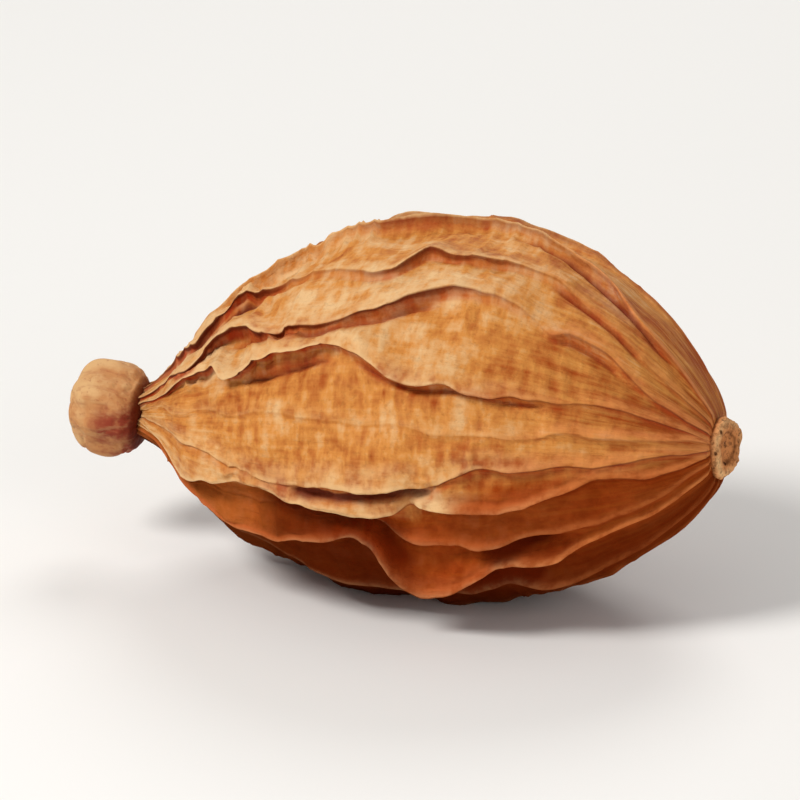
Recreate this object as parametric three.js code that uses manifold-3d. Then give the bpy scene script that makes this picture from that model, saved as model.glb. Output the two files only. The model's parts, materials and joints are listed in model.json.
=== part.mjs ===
// A dried amomum fruit: a spindle-shaped capsule with a leathery, ribbed husk,
// the knob of the dried flower at one end and the corky stalk scar at the other.
// Millimetres and degrees, +Z up. The fruit lies along X with the stalk scar at +X,
// resting on the crests of its lowest ribs.

import * as THREE from "three";
import { mergeVertices } from "three/addons/utils/BufferGeometryUtils.js";
import Module from "manifold-3d";

// ---------------------------------------------------------------- driving sizes

const HUSK = {
  length: 24.35, // from the flower collar to the rim of the stalk scar
  radius: 7.7, // over the rib crests, where the husk is widest
  widestAt: 0.55, // share of the length from the flower end
  collarRadius: 0.95,
  mouthDepth: 0.5, // of the groove inside the collar
  scarRimRadius: 1.25,
  collarFullness: 0.85, // below 1 the flank is rounder, above 1 more pointed
  scarFullness: 0.75,
  neckPinch: 0.4, // how much of the outline is left right behind the collar
  neckLength: 0.154, // share of the length over which that pinch fades
  ribAllowance: 0.72, // depth of the panels under the crests
  bow: 1.0, // rise of the middle line between the two ends
  bowSkew: 1.3, // above 1 the rise sits nearer to the stalk scar
};

// How much of a rib is left at the two ends, and over which share of the length it changes.
const RIB_ENDS = { atCollar: 0.3, collarLength: 0.16, atScar: 0.28, scarLength: 0.42 };

// Cross-section of a rib: the slope up to its crest, spread out by its lean, and the
// drop behind it, both narrower towards the ends of the husk. Near the scar the drop
// widens and the ribs turn into rounded ridges.
const FOLD = {
  slope: 0.62,
  spread: 0.8,
  drop: 0.24,
  scarDrop: 0.45,
  scarLength: 0.25, // share of the length over which the drop widens
  roundness: 0.15,
  narrowing: 0.8,
  merging: 4,
};

// The collar's rim is set back where the front of the knob's neck shows.
const COLLAR_NOTCH = { depth: 0.42, longitude: 76, around: 24, along: 0.045 };

const KNOB = {
  length: 3.0,
  radius: 1.88,
  seat: 0.3, // how far it sits inside the collar
  root: 1.3, // how far its neck runs on into the husk
  neckRadius: 0.55,
  dish: 0.4, // depth of the hollow in its tip
  opening: 78, // half angle of the barrel's round
  flatness: 0.5, // below 1 the barrel's side is flatter
  lift: 8, // its tip points a little upwards
  folds: 7,
  foldDepth: 0.045, // share of the radius
  squash: 0.03, // share of the radius
  smoothNeck: 1.2, // length over which the folds set in
  steps: 8,
  sides: 26,
};

const SCAR = {
  radius: 1.2,
  thickness: 0.36,
  turn: 8, // towards the front
  sink: 0.5, // how far it reaches into the husk
  shoulder: 0.8, // radii as shares of the scar's radius
  rimInside: 0.62,
  pit: 0.4,
  rim: 0.16, // how far the rim stands over the pit
  waver: 0.04,
  sides: 26,
};

const PITCH = 3.8; // the stalk end lies a little higher than the flower end
const CENTRE = { x: 1.11, y: -0.03, z: 6.42 }; // middle of the husk's axis over the floor

const RINGS = 42;
const RING_CROWDING = 0.55; // 0 spaces the rings evenly, 1 crowds them at the ends
const COLUMN_PLACES = [0, 0.1, 0.36, 0.64, 0.88]; // crest, lee foot, panel, panel, shoulder

// Each rib's crest as [share of the length, longitude], counted from the flower collar
// and from the top of the fruit over the front, and its height as [share of the
// length, share of a full rib]. A leaning rib's foot stands back from its crest, so
// that it hangs over the panel below. Width is a share of the width of a full fold.
const FRONT_RIBS = [
  {
    crest: [
      [0, -10], [0.12, 2], [0.2, 4], [0.3, -2], [0.5, -8], [0.62, -13], [0.74, -9], [0.82, -2],
      [0.88, 6], [0.94, 14], [1, 20],
    ],
    height: [
      [0, 0.5], [0.1, 0.35], [0.14, 0.36], [0.17, 0.5], [0.2, 0.72], [0.235, 0.95], [0.35, 0.75],
      [0.6, 0.65], [0.8, 0.75], [0.9, 1], [1, 1],
    ],
    lean: 0.2,
    width: 0.9,
  },
  {
    crest: [
      [0, 12], [0.07, 18], [0.14, 32], [0.18, 29], [0.21, 25.5], [0.245, 19.5], [0.285, 16],
      [0.33, 15.5], [0.38, 17.5], [0.44, 22.5], [0.48, 25.5], [0.51, 25], [0.535, 20.5],
      [0.56, 15], [0.6, 16.5], [0.65, 15], [0.7, 12.5], [0.76, 13], [0.85, 20], [0.92, 28],
      [1, 36],
    ],
    height: [
      [0, 0.5], [0.1, 0.6], [0.17, 0.75], [0.22, 0.85], [0.27, 0.5], [0.32, 0.3], [0.38, 0.2],
      [0.47, 0.4], [0.56, 0.55], [0.63, 0.55], [0.72, 0.4], [0.8, 0.25], [0.9, 0.3], [1, 0.8],
    ],
    lean: 0.5,
    width: 1,
  },
  {
    crest: [
      [0, 38], [0.08, 43], [0.14, 48], [0.175, 44], [0.21, 38], [0.25, 40], [0.3, 42],
      [0.4, 43.5], [0.5, 42.5], [0.53, 40.5], [0.56, 36.5], [0.6, 33], [0.66, 31], [0.72, 31.5],
      [0.755, 34],
      [0.78, 37.5], [0.81, 34.5], [0.86, 36], [0.9, 42], [0.94, 47.5], [1, 50],
    ],
    height: [
      [0, 0.6], [0.1, 0.6], [0.17, 0.7], [0.21, 0.85], [0.27, 0.7], [0.4, 0.6], [0.55, 0.65],
      [0.65, 0.5], [0.72, 0.35], [0.755, 0.12], [0.79, 0.4], [0.84, 0.6], [0.9, 0.55], [1, 0.9],
    ],
    lean: 0.55,
    width: 1,
  },
  {
    crest: [
      [0, 50], [0.1, 54], [0.16, 54], [0.195, 53], [0.23, 58], [0.26, 58], [0.3, 55],
      [0.36, 53.5], [0.43, 52.5], [0.48, 56], [0.54, 62.5], [0.6, 65], [0.64, 64], [0.69, 64.8],
      [0.74, 66], [0.8, 64.5], [0.86, 62], [0.92, 60.5], [1, 58],
    ],
    height: [
      [0, 0.6], [0.1, 0.6], [0.19, 0.5], [0.23, 0.95], [0.3, 0.9], [0.4, 0.85], [0.47, 0.65],
      [0.55, 0.7], [0.7, 0.5], [0.8, 0.45], [0.9, 0.7], [1, 1],
    ],
    lean: 0.7,
    width: 0.75,
  },
  {
    crest: [
      [0, 66], [0.12, 70], [0.24, 72], [0.4, 75], [0.6, 78], [0.75, 78], [0.85, 75],
      [0.95, 70], [1, 66],
    ],
    height: [[0, 0.3], [0.2, 0.1], [0.6, 0.16], [0.8, 0.4], [0.9, 0.8], [1, 1]],
    lean: 0,
    width: 1,
  },
  {
    crest: [
      [0, 82], [0.12, 88], [0.16, 90], [0.2, 91.5], [0.26, 94.3], [0.32, 96], [0.37, 97.2],
      [0.43, 97.3], [0.5, 96.9], [0.55, 95.8], [0.6, 94.3], [0.66, 91.5], [0.72, 89.8], [0.8, 89],
      [0.88, 86], [0.95, 82], [1, 77],
    ],
    height: [
      [0, 0.4], [0.12, 0.3], [0.18, 0.45], [0.25, 0.35], [0.3, 0.3], [0.36, 0.5], [0.45, 0.65],
      [0.55, 0.65], [0.6, 0.5], [0.66, 0.6], [0.8, 0.6], [1, 1],
    ],
    lean: 0.5,
    width: 1,
  },
  {
    crest: [
      [0, 94], [0.12, 107], [0.15, 106], [0.19, 103.5], [0.23, 103.5], [0.26, 101.5], [0.3, 102.3],
      [0.34, 103.6], [0.38, 104.2], [0.42, 104.3], [0.47, 104.8], [0.51, 105.3], [0.545, 105.6],
      [0.58, 102],
      [0.62, 103], [0.69, 103.4], [0.75, 101.5], [0.79, 97.8], [0.86, 94.5], [0.95, 93], [1, 88],
    ],
    height: [
      [0, 0.5], [0.12, 0.6], [0.17, 0.8], [0.21, 0.6], [0.25, 0.4], [0.3, 0.55], [0.4, 0.7],
      [0.5, 0.7], [0.55, 0.6], [0.575, 0.25], [0.6, 0.8], [0.66, 0.8], [0.75, 0.7], [0.85, 0.75],
      [1, 1.1],
    ],
    lean: 0.4,
    width: 0.9,
  },
  {
    crest: [
      [0, 106], [0.15, 111.5], [0.25, 112], [0.33, 110.5], [0.4, 109.5], [0.45, 109.5],
      [0.5, 112], [0.55, 116], [0.62, 118], [0.7, 120.5], [0.76, 118], [0.82, 116],
      [0.9, 112], [1, 104],
    ],
    height: [
      [0, 0.4], [0.2, 0.1], [0.42, 0.05], [0.5, 0.45], [0.6, 0.55], [0.7, 0.55], [0.8, 0.4],
      [1, 0.6],
    ],
    lean: 0.2,
    width: 0.8,
  },
  {
    crest: [
      [0, 114], [0.15, 119.5], [0.22, 123], [0.28, 123], [0.35, 121], [0.42, 117], [0.46, 115.3],
      [0.49, 118], [0.515, 124], [0.54, 132], [0.57, 136.5], [0.605, 134.5], [0.65, 130],
      [0.7, 127], [0.78, 129], [0.84, 124], [0.92, 121], [1, 116],
    ],
    height: [
      [0, 0.4], [0.15, 0.6], [0.3, 0.65], [0.4, 0.8], [0.48, 1.05], [0.55, 1.3], [0.63, 1.15],
      [0.7, 1], [0.8, 1], [1, 1],
    ],
    lean: 0.25,
    width: 0.42,
  },
  {
    crest: [[0, 130], [0.3, 138], [0.45, 144], [0.6, 147], [0.7, 144], [0.8, 150], [1, 150]],
    height: [
      [0, 0.5], [0.12, 0.25], [0.25, 0.25], [0.4, 0.55], [0.6, 0.5], [0.75, 1], [0.85, 0.7], [1, 0.7],
    ],
    lean: 0,
    width: 1,
  },
];

// Hollows in the panels beside the strongest folds: share of the length, longitude,
// depth, and how far each reaches along (share) and around (degrees).
const HOLLOWS = [
  { share: 0.3, longitude: 59, depth: 0.12, along: 0.07, around: 2.5 },
  { share: 0.49, longitude: 114, depth: 0.6, along: 0.06, around: 6 },
  { share: 0.75, longitude: 123, depth: 0.35, along: 0.07, around: 3.5 },
  { share: 0.615, longitude: 98.5, depth: 0.3, along: 0.02, around: 2.5 },
];

// The ribs of the far side are spread evenly over what is left of the round. Each one
// strays, sways, leans and swells a little differently from the one before.
const BACK_RIBS = {
  count: 8,
  first: 170,
  last: 330,
  height: 0.64,
  uneven: 0.25,
  unevenTurn: 2.1,
  stray: 2.5,
  sway: 4.5,
  swayPlaces: [0.25, 0.5, 0.74], // shares of the length
  placeShift: 0.045,
  lean: 0.45,
  swell: 1.35,
  swellAt: 0.35,
  swellShift: 0.2,
  swellLength: 0.15,
  turn: 2.4, // radians that the variation moves on from rib to rib
};

// ---------------------------------------------------------------- small helpers

const radians = THREE.MathUtils.degToRad;
const degrees = THREE.MathUtils.radToDeg;
const mix = THREE.MathUtils.lerp;
const smooth = (value) => THREE.MathUtils.smoothstep(value, 0, 1);

// Follows [share, value] places smoothly and without overshooting them.
function follow(places, s) {
  const last = places.length - 2;
  const slope = (i) => (places[i + 1][1] - places[i][1]) / (places[i + 1][0] - places[i][0]);
  const tangent = (i) => {
    if (i === 0) return slope(0);
    if (i > last) return slope(last);
    const [before, after] = [slope(i - 1), slope(i)];
    return before * after > 0 ? (2 * before * after) / (before + after) : 0;
  };
  const beyond = places.findIndex(([at]) => at > s);
  const i = beyond < 0 ? last : Math.max(0, beyond - 1);
  const [[start, from], [end, to]] = [places[i], places[i + 1]];
  const step = end - start;
  const t = (s - start) / step;
  const rest = 1 - t;
  const bend = step * t * rest * (tangent(i) * rest - tangent(i + 1) * t);
  return mix(from, to, smooth(t)) + bend;
}

// ---------------------------------------------------------------- the husk

function backRibs() {
  const { count, first, last, stray, sway, lean, swell, swellLength } = BACK_RIBS;
  const [near, middle, far] = BACK_RIBS.swayPlaces;
  const ribs = [];
  for (let i = 0; i < count; i += 1) {
    const turn = BACK_RIBS.turn * i;
    const base = mix(first, last, i / (count - 1)) + stray * Math.sin(turn);
    const uneven = BACK_RIBS.uneven * Math.cos(BACK_RIBS.unevenTurn * (i - 0.5));
    const height = BACK_RIBS.height * (1 + uneven);
    const swellAt = BACK_RIBS.swellAt + BACK_RIBS.swellShift * Math.sin(3 * turn);
    ribs.push({
      crest: [
        [0, base],
        [near + BACK_RIBS.placeShift * Math.sin(turn), base + sway * Math.cos(turn)],
        [middle + BACK_RIBS.placeShift * Math.cos(turn), base - sway * Math.sin(turn + 0.6)],
        [far, base + sway * Math.sin(turn)],
        [1, base],
      ],
      height: [
        [0, height],
        [swellAt - swellLength, height],
        [swellAt, swell * height],
        [swellAt + swellLength, height],
        [1, height],
      ],
      lean: lean * Math.sin(turn + 1),
      width: 1,
    });
  }
  return ribs;
}

const RIBS = [...FRONT_RIBS, ...backRibs()];

// Ribs rise quickly behind the flower collar and die out slowly towards the scar.
function ribEnvelope(s) {
  const rise = mix(RIB_ENDS.atCollar, 1, smooth(s / RIB_ENDS.collarLength));
  const fade = mix(RIB_ENDS.atScar, 1, smooth((1 - s) / RIB_ENDS.scarLength));
  return rise * fade;
}

const ribHeight = (rib, s) => follow(rib.height, s) * ribEnvelope(s);

// Radius over the rib crests: two rounded flanks that meet where the husk is widest,
// the flower end pinched to a neck.
function outerRadius(s) {
  const towardsCollar = s < HUSK.widestAt;
  const endRadius = towardsCollar ? HUSK.collarRadius : HUSK.scarRimRadius;
  const span = towardsCollar ? HUSK.widestAt : 1 - HUSK.widestAt;
  const away = Math.abs(s - HUSK.widestAt) / span;
  const fullness = towardsCollar ? HUSK.collarFullness : HUSK.scarFullness;
  const flank = Math.max(0, 1 - away * away) ** fullness;
  const pinch = towardsCollar ? mix(HUSK.neckPinch, 1, smooth(s / HUSK.neckLength)) : 1;
  return endRadius + (HUSK.radius - endRadius) * flank * pinch;
}

function hollowDepth(s, longitude) {
  const depths = HOLLOWS.map(({ share, longitude: middle, depth, along, around }) => {
    return depth * Math.exp(-(((s - share) / along) ** 2) - ((longitude - middle) / around) ** 2);
  });
  return depths.reduce((sum, depth) => sum + depth);
}

function collarNotch(s, longitude) {
  const across = (longitude - COLLAR_NOTCH.longitude) / COLLAR_NOTCH.around;
  return COLLAR_NOTCH.depth * Math.exp(-across * across) * smooth(1 - s / COLLAR_NOTCH.along);
}

const panelRadius = (s) => outerRadius(s) - HUSK.ribAllowance * ribEnvelope(s);

function middleLine(s) {
  const rise = HUSK.bow * Math.sin(Math.PI * s ** HUSK.bowSkew);
  return new THREE.Vector3((s - 0.5) * HUSK.length, 0, rise);
}

// A rib is a fold: a long slope up to its crest and a short drop behind it.
function foldShape(rib, s, distance) {
  const width = rib.width * (outerRadius(s) / HUSK.radius) ** FOLD.narrowing;
  const slope = FOLD.slope * (1 + FOLD.spread * Math.abs(rib.lean));
  const nearScar = smooth(1 - (1 - s) / FOLD.scarLength);
  const drop = mix(FOLD.drop, FOLD.scarDrop, nearScar);
  const x = distance / (width * (distance < 0 ? slope : drop));
  return Math.exp(FOLD.roundness - Math.hypot(x, FOLD.roundness));
}

// Longitude of a rib's foot at share s of the length.
function footLongitude(rib, s) {
  const overhang = rib.lean * ribHeight(rib, s) ** 2;
  return follow(rib.crest, s) - degrees(overhang / outerRadius(s));
}

// Point of the husk at share s of its length and column `place` of `rib`.
function huskPoint(s, rib, place) {
  const count = RIBS.length;
  const turns = (index) => 360 * Math.floor(index / count);
  const ribAt = (index) => RIBS[((index % count) + count) % count];
  const longitudeAt = (index) => footLongitude(ribAt(index), s) + turns(index);
  const longitude = mix(longitudeAt(rib), longitudeAt(rib + 1), place);
  const radius = panelRadius(s);
  let powers = 0;
  let sideways = 0;
  for (let index = rib - 1; index <= rib + 2; index += 1) {
    const distance = radians(longitude - longitudeAt(index)) * radius;
    const height = ribHeight(ribAt(index), s) * foldShape(ribAt(index), s, distance);
    powers += height ** FOLD.merging;
    sideways += ribAt(index).lean * height * height;
  }
  const height = powers ** (1 / FOLD.merging) - hollowDepth(s, longitude);
  const angle = radians(longitude);
  const outwards = new THREE.Vector3(0, -Math.sin(angle), Math.cos(angle));
  const along = new THREE.Vector3(0, -Math.cos(angle), -Math.sin(angle));
  const point = middleLine(s).addScaledVector(outwards, radius + height);
  point.x += collarNotch(s, longitude);
  return point.addScaledVector(along, sideways);
}

// Rings lie closer together towards both ends, where the husk curves most.
function ringShare(ring) {
  const even = ring / (RINGS - 1);
  return mix(even, (1 - Math.cos(Math.PI * even)) / 2, RING_CROWDING);
}

// Closes rings of equal length into one skin, with a fan over each end.
function closedSkin(rings, firstPole, lastPole) {
  const count = rings[0].length;
  const points = [firstPole, ...rings.flat(), lastPole];
  const last = points.length - 1;
  const faces = [];
  for (let j = 0; j < count; j += 1) {
    const next = (j + 1) % count;
    faces.push(0, 1 + next, 1 + j);
    for (let i = 0; i + 1 < rings.length; i += 1) {
      const here = 1 + i * count;
      const there = here + count;
      faces.push(here + j, here + next, there + next);
      faces.push(here + j, there + next, there + j);
    }
    faces.push(last, last - count + j, last - count + next);
  }
  const geometry = new THREE.BufferGeometry().setFromPoints(points);
  geometry.setIndex(faces);
  return geometry;
}

function huskGeometry() {
  const rings = [];
  for (let ring = 0; ring < RINGS; ring += 1) {
    const s = ringShare(ring);
    const points = [];
    for (let rib = 0; rib < RIBS.length; rib += 1) {
      for (const place of COLUMN_PLACES) {
        points.push(huskPoint(s, rib, place));
      }
    }
    rings.push(points);
  }
  const mouth = middleLine(0).add(new THREE.Vector3(HUSK.mouthDepth, 0, 0));
  return closedSkin(rings, mouth, middleLine(1));
}

// ---------------------------------------------------------------- the two ends

// A turned shape along X: profile gives [x, radius] pairs, and waver bends each radius.
function turned(profile, segments, waver) {
  const rings = profile.slice(1, -1).map(([x, radius]) => {
    const points = [];
    for (let j = 0; j < segments; j += 1) {
      const angle = (2 * Math.PI * j) / segments;
      const r = radius * waver(angle, x);
      points.push(new THREE.Vector3(x, -r * Math.sin(angle), r * Math.cos(angle)));
    }
    return points;
  });
  const pole = ([x]) => new THREE.Vector3(x, 0, 0);
  return closedSkin(rings, pole(profile[0]), pole(profile[profile.length - 1]));
}

function movedToHusk(geometry, s) {
  const base = middleLine(s);
  geometry.translate(base.x, base.y, base.z);
  return geometry;
}

// The dried flower: a wrinkled barrel on a thin neck that stands in the collar.
function knobGeometry() {
  const halfLength = KNOB.length / 2;
  const middle = KNOB.seat - halfLength;
  const profile = [[middle - halfLength + KNOB.dish, 0]];
  for (let i = 0; i <= KNOB.steps; i += 1) {
    const angle = radians(mix(-KNOB.opening, KNOB.opening, i / KNOB.steps));
    const bulge = Math.cos(angle) ** KNOB.flatness;
    profile.push([middle + halfLength * Math.sin(angle), KNOB.radius * bulge]);
  }
  profile.push([KNOB.root, KNOB.neckRadius], [KNOB.root, 0]);
  const waver = (angle, x) => {
    const folds = KNOB.foldDepth * Math.cos(KNOB.folds * angle);
    const squash = KNOB.squash * Math.sin(2 * angle + 1);
    return 1 + (folds + squash) * smooth(-x / KNOB.smoothNeck);
  };
  const geometry = turned(profile, KNOB.sides, waver);
  geometry.rotateY(radians(KNOB.lift));
  return movedToHusk(geometry, 0);
}

// The stalk scar: a flat corky plug with a raised rim.
function scarGeometry() {
  const { radius, thickness: top, turn, sink, shoulder, rimInside, pit, rim, waver } = SCAR;
  const profile = [
    [-sink, 0],
    [-sink, shoulder * radius],
    [0.1 * top, 0.97 * radius],
    [0.5 * top, radius],
    [0.88 * top, 0.95 * radius],
    [top, shoulder * radius],
    [top, rimInside * radius],
    [top - rim, pit * radius],
    [top - rim, 0],
  ];
  const wavy = (angle) => 1 + waver * (Math.sin(3 * angle) + 0.6 * Math.cos(5 * angle));
  return movedToHusk(turned(profile, SCAR.sides, wavy).rotateZ(-radians(turn)), 1);
}

// ---------------------------------------------------------------- joining

const wasm = await Module();
wasm.setup();

function toSolid(geometry) {
  geometry.deleteAttribute("normal");
  geometry.deleteAttribute("uv");
  const merged = mergeVertices(geometry);
  const mesh = new wasm.Mesh({
    numProp: 3,
    vertProperties: new Float32Array(merged.attributes.position.array),
    triVerts: new Uint32Array(merged.index.array),
  });
  return new wasm.Manifold(mesh);
}

function toGeometry(solid) {
  const mesh = solid.getMesh();
  const geometry = new THREE.BufferGeometry();
  geometry.setAttribute("position", new THREE.BufferAttribute(mesh.vertProperties, 3));
  geometry.setIndex(new THREE.BufferAttribute(mesh.triVerts, 1));
  geometry.computeVertexNormals();
  return geometry;
}

// Everything below the floor, which presses the lowest crests into flat rests.
function floorBlock() {
  const size = 2 * HUSK.length;
  const block = new THREE.BoxGeometry(size, size, size);
  block.translate(0, 0, -size / 2);
  return block;
}

function placed(geometry) {
  geometry.rotateY(radians(-PITCH));
  geometry.translate(CENTRE.x, CENTRE.y, CENTRE.z);
  return geometry;
}

function fruitGeometry() {
  const whole = [huskGeometry(), knobGeometry(), scarGeometry()]
    .map((geometry) => toSolid(placed(geometry)))
    .reduce((sum, solid) => sum.add(solid));
  return toGeometry(whole.subtract(toSolid(floorBlock())));
}

const fruit = new THREE.Mesh(
  fruitGeometry(),
  new THREE.MeshStandardMaterial({ color: 0xb9743f, roughness: 0.68, metalness: 0 }),
);
fruit.name = "fruit";

const group = new THREE.Group();
group.add(fruit);

export default group;
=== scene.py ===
"""A dried amomum fruit: a ribbed, leathery capsule with the knob of its dried flower
and the corky scar of its stalk, laid out as an add-on that builds it piece by piece."""

import json
import math

import bpy
import numpy as np
from mathutils import Matrix, Vector

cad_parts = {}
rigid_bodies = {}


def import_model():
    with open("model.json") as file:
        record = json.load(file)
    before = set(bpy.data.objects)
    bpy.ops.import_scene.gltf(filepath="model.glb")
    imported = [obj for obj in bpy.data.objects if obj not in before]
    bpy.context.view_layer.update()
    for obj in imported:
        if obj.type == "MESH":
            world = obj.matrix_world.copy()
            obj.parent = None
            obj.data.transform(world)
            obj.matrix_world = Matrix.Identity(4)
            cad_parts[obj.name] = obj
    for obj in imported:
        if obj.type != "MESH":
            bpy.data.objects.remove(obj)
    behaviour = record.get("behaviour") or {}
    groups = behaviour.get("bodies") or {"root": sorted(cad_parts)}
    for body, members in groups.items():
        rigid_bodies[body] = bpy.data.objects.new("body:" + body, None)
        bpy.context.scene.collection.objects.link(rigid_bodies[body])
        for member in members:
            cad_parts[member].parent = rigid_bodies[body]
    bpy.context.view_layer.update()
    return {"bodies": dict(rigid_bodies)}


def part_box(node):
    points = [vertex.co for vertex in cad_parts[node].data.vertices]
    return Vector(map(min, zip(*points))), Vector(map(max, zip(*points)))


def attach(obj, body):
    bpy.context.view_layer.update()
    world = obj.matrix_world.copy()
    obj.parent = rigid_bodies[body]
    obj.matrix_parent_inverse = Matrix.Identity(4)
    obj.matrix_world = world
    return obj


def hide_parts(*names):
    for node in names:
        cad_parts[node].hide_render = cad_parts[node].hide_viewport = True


bl_info = {
    "name": "Dried amomum fruit",
    "version": (1, 0, 0),
    "blender": (4, 5, 0),
    "location": "3D View > Sidebar > Amomum",
    "description": "Builds a dried amomum fruit with its ribbed husk, flower knob and stalk scar",
    "category": "Object",
}

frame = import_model()
FRUIT_LOW, FRUIT_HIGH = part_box("fruit")
BODY = next(iter(frame["bodies"]))

MM = 0.001


# ------------------------------------------------------------------ sizes and colours


def a_length(name, description, default):
    return bpy.props.FloatProperty(
        name=name, description=description, default=default, unit="LENGTH", subtype="DISTANCE"
    )


def an_angle(name, description, degrees):
    return bpy.props.FloatProperty(
        name=name,
        description=description,
        default=math.radians(degrees),
        unit="ROTATION",
        subtype="ANGLE",
    )


def a_colour(name, description, red, green, blue):
    """A colour given in 0..255 as a screen shows it, kept as linear values."""
    shown = (red / 255, green / 255, blue / 255)
    linear = tuple(c / 12.92 if c <= 0.04045 else ((c + 0.055) / 1.055) ** 2.4 for c in shown)
    return bpy.props.FloatVectorProperty(
        name=name, description=description, default=linear, subtype="COLOR"
    )


class HuskSettings(bpy.types.PropertyGroup):
    """The ribbed capsule."""

    length: a_length("Length", "From the flower collar to the rim of the stalk scar", 24.35 * MM)
    radius: a_length("Radius", "Over the rib crests, where the husk is widest", 7.7 * MM)
    rib_depth: a_length("Rib depth", "How far the panels lie under the rib crests", 0.72 * MM)
    pitch: an_angle("Pitch", "How much the stalk end is raised as the fruit lies", 3.8)
    tan: a_colour("Tan", "The dry panels", 204, 134, 62)
    rust: a_colour("Rust", "The red-brown patches and the stalk end", 158, 70, 16)
    # Pale also paints highlights on the lit crests of the ribs.
    pale: a_colour("Pale", "The worn crests of the ribs", 220, 178, 126)
    # Shade is partly the redder flank and partly painted shade towards the ground.
    shade: a_colour("Shade", "The deep red-brown of the flanks towards the ground", 156, 62, 20)
    ridge: a_colour("Ridge", "The rounded ribs next to the stalk scar", 224, 138, 76)
    # Rope paints light on the lips that stand out of the shaded flank.
    rope: a_colour("Rope", "The lips of the ribs on those flanks", 180, 84, 38)
    # Recess is painted shade under the lips.
    recess_shade: a_colour("Recess", "The red-brown right under the lips of the upper ribs", 166, 56, 14)
    # Bloom is the waxy patch with a painted sheen on it.
    bloom_and_sheen: a_colour(
        "Bloom", "The greyish waxy patches between the fine ribs of the stalk end", 212, 174, 136
    )
    # Dark paints shade in the grooves and cores, on the flank and in the shadows, and gives the
    # grit specks.
    dark: a_colour("Dark", "The grooves behind the ribs", 74, 18, 3)


class KnobSettings(bpy.types.PropertyGroup):
    """The dried flower at the tip."""

    length: a_length("Length", "Of the barrel, along the fruit", 3.0 * MM)
    radius: a_length("Radius", "Where the barrel is thickest", 1.88 * MM)
    # Straw and tan also paint light on the tip and top; plum and dark paint shade below and
    # towards the collar.
    straw: a_colour("Straw", "The pale dry top of the knob", 208, 164, 112)
    tan: a_colour("Tan", "Most of the knob", 188, 130, 80)
    plum: a_colour("Plum", "The purple-brown underside beside the collar", 136, 50, 32)
    dark: a_colour("Dark", "The dark end inside the collar", 98, 32, 10)


class ScarSettings(bpy.types.PropertyGroup):
    """The corky scar of the stalk."""

    radius: a_length("Radius", "Of the corky plug", 1.2 * MM)
    thickness: a_length("Thickness", "How far the plug stands out of the husk", 0.36 * MM)
    turn: an_angle("Turn", "How far the plug is turned towards the front", 8)
    # Rim is partly a paler rim and partly a painted highlight on its front; pith also paints the
    # shade under the plug.
    rim: a_colour("Rim", "The pale worn rim", 236, 186, 130)
    cork: a_colour("Cork", "The dry cork", 202, 130, 76)
    pith: a_colour("Pith", "The dark pits in it", 78, 38, 12)


class StageSettings(bpy.types.PropertyGroup):
    """Floor, light and camera."""

    floor: a_colour("Floor", "The pale ground that the fruit lies on", 240, 239, 236)
    view_azimuth: an_angle("Azimuth", "How far the camera stands round towards the stalk end", 20)
    view_height: an_angle("Elevation", "How far the camera looks down", 20)
    view_width: a_length("Width in view", "Width that the picture covers at the fruit", 31.5 * MM)


# ------------------------------------------------------------------ small sums


def mix(a, b, share):
    return a + (b - a) * share


def smooth(value):
    value = np.clip(value, 0.0, 1.0)
    return value * value * (3 - 2 * value)


def rise(value, start, width):
    """0 up to the start and 1 from a width past it, with a smooth step between."""
    return smooth((value - start) / width)


def fall(value, end, width):
    """1 until a width before the end and 0 past it, with a smooth step between."""
    return smooth((end - value) / width)


def hill(value, middle, reach):
    return np.exp(-(((value - middle) / reach) ** 2))


def tail(value, end, reach):
    """1 up to the end, dying out past it."""
    return hill(np.maximum(0, value - end), 0, reach)


def spot(s, longitude, share, middle, along, around):
    """A round spot on the husk, 1 at its middle."""
    return np.exp(-(((s - share) / along) ** 2) - ((longitude - middle) / around) ** 2)


def follow(places, s):
    """Follows (share, value) places smoothly and without overshooting them."""
    xs, ys = np.array(places, float).T
    steps = np.diff(xs)
    slopes = np.diff(ys) / steps
    product = slopes[:-1] * slopes[1:]
    total = np.where(product > 0, slopes[:-1] + slopes[1:], 1)
    middle = np.where(product > 0, 2 * product / total, 0)
    tangents = np.concatenate([slopes[:1], middle, slopes[-1:]])
    i = np.clip(np.searchsorted(xs, s, side="right") - 1, 0, len(steps) - 1)
    t = (s - xs[i]) / steps[i]
    rest = 1 - t
    return (
        ys[i] * (1 + 2 * t) * rest * rest
        + ys[i + 1] * t * t * (3 - 2 * t)
        + steps[i] * t * rest * (tangents[i] * rest - tangents[i + 1] * t)
    )


class Noise:
    """Soft noise from -1 to 1, the same on every run for the same seed."""

    SIZE = 32

    def __init__(self, seed):
        self.grid = np.random.default_rng(seed).uniform(-1, 1, (self.SIZE,) * 3)

    def __call__(self, points):
        low = np.floor(points).astype(int)
        share = points - low
        share = share**3 * (share * (share * 6 - 15) + 10)
        total = np.zeros(len(points))
        for corner in range(8):
            offset = np.array([corner >> 2 & 1, corner >> 1 & 1, corner & 1])
            weight = np.prod(np.where(offset, share, 1 - share), axis=1)
            x, y, z = ((low + offset) % self.SIZE).T
            total += weight * self.grid[x, y, z]
        return total


# ------------------------------------------------------------------ the husk's shape

# Millimetres, degrees and shares of the husk's length from the flower end,
# the same values as the solid that the pieces are fitted to.
CENTRE = (1.11, -0.03, 6.42)
WIDEST_AT = 0.55
COLLAR_RADIUS = 0.95
SCAR_RIM_RADIUS = 1.25
COLLAR_FULLNESS = 0.85
SCAR_FULLNESS = 0.75
NECK_PINCH = 0.4
NECK_LENGTH = 0.154
BOW = 1.0
BOW_SKEW = 1.3
RIB_ENDS = {"collar": 0.3, "collar_reach": 0.16, "scar": 0.28, "scar_reach": 0.42}
FOLD = {
    "slope": 0.62, "drop": 0.2, "scar_drop": 0.45, "scar_reach": 0.25, "roundness": 0.25,
    "spread": 0.8, "narrowing": 0.8,
}

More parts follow.
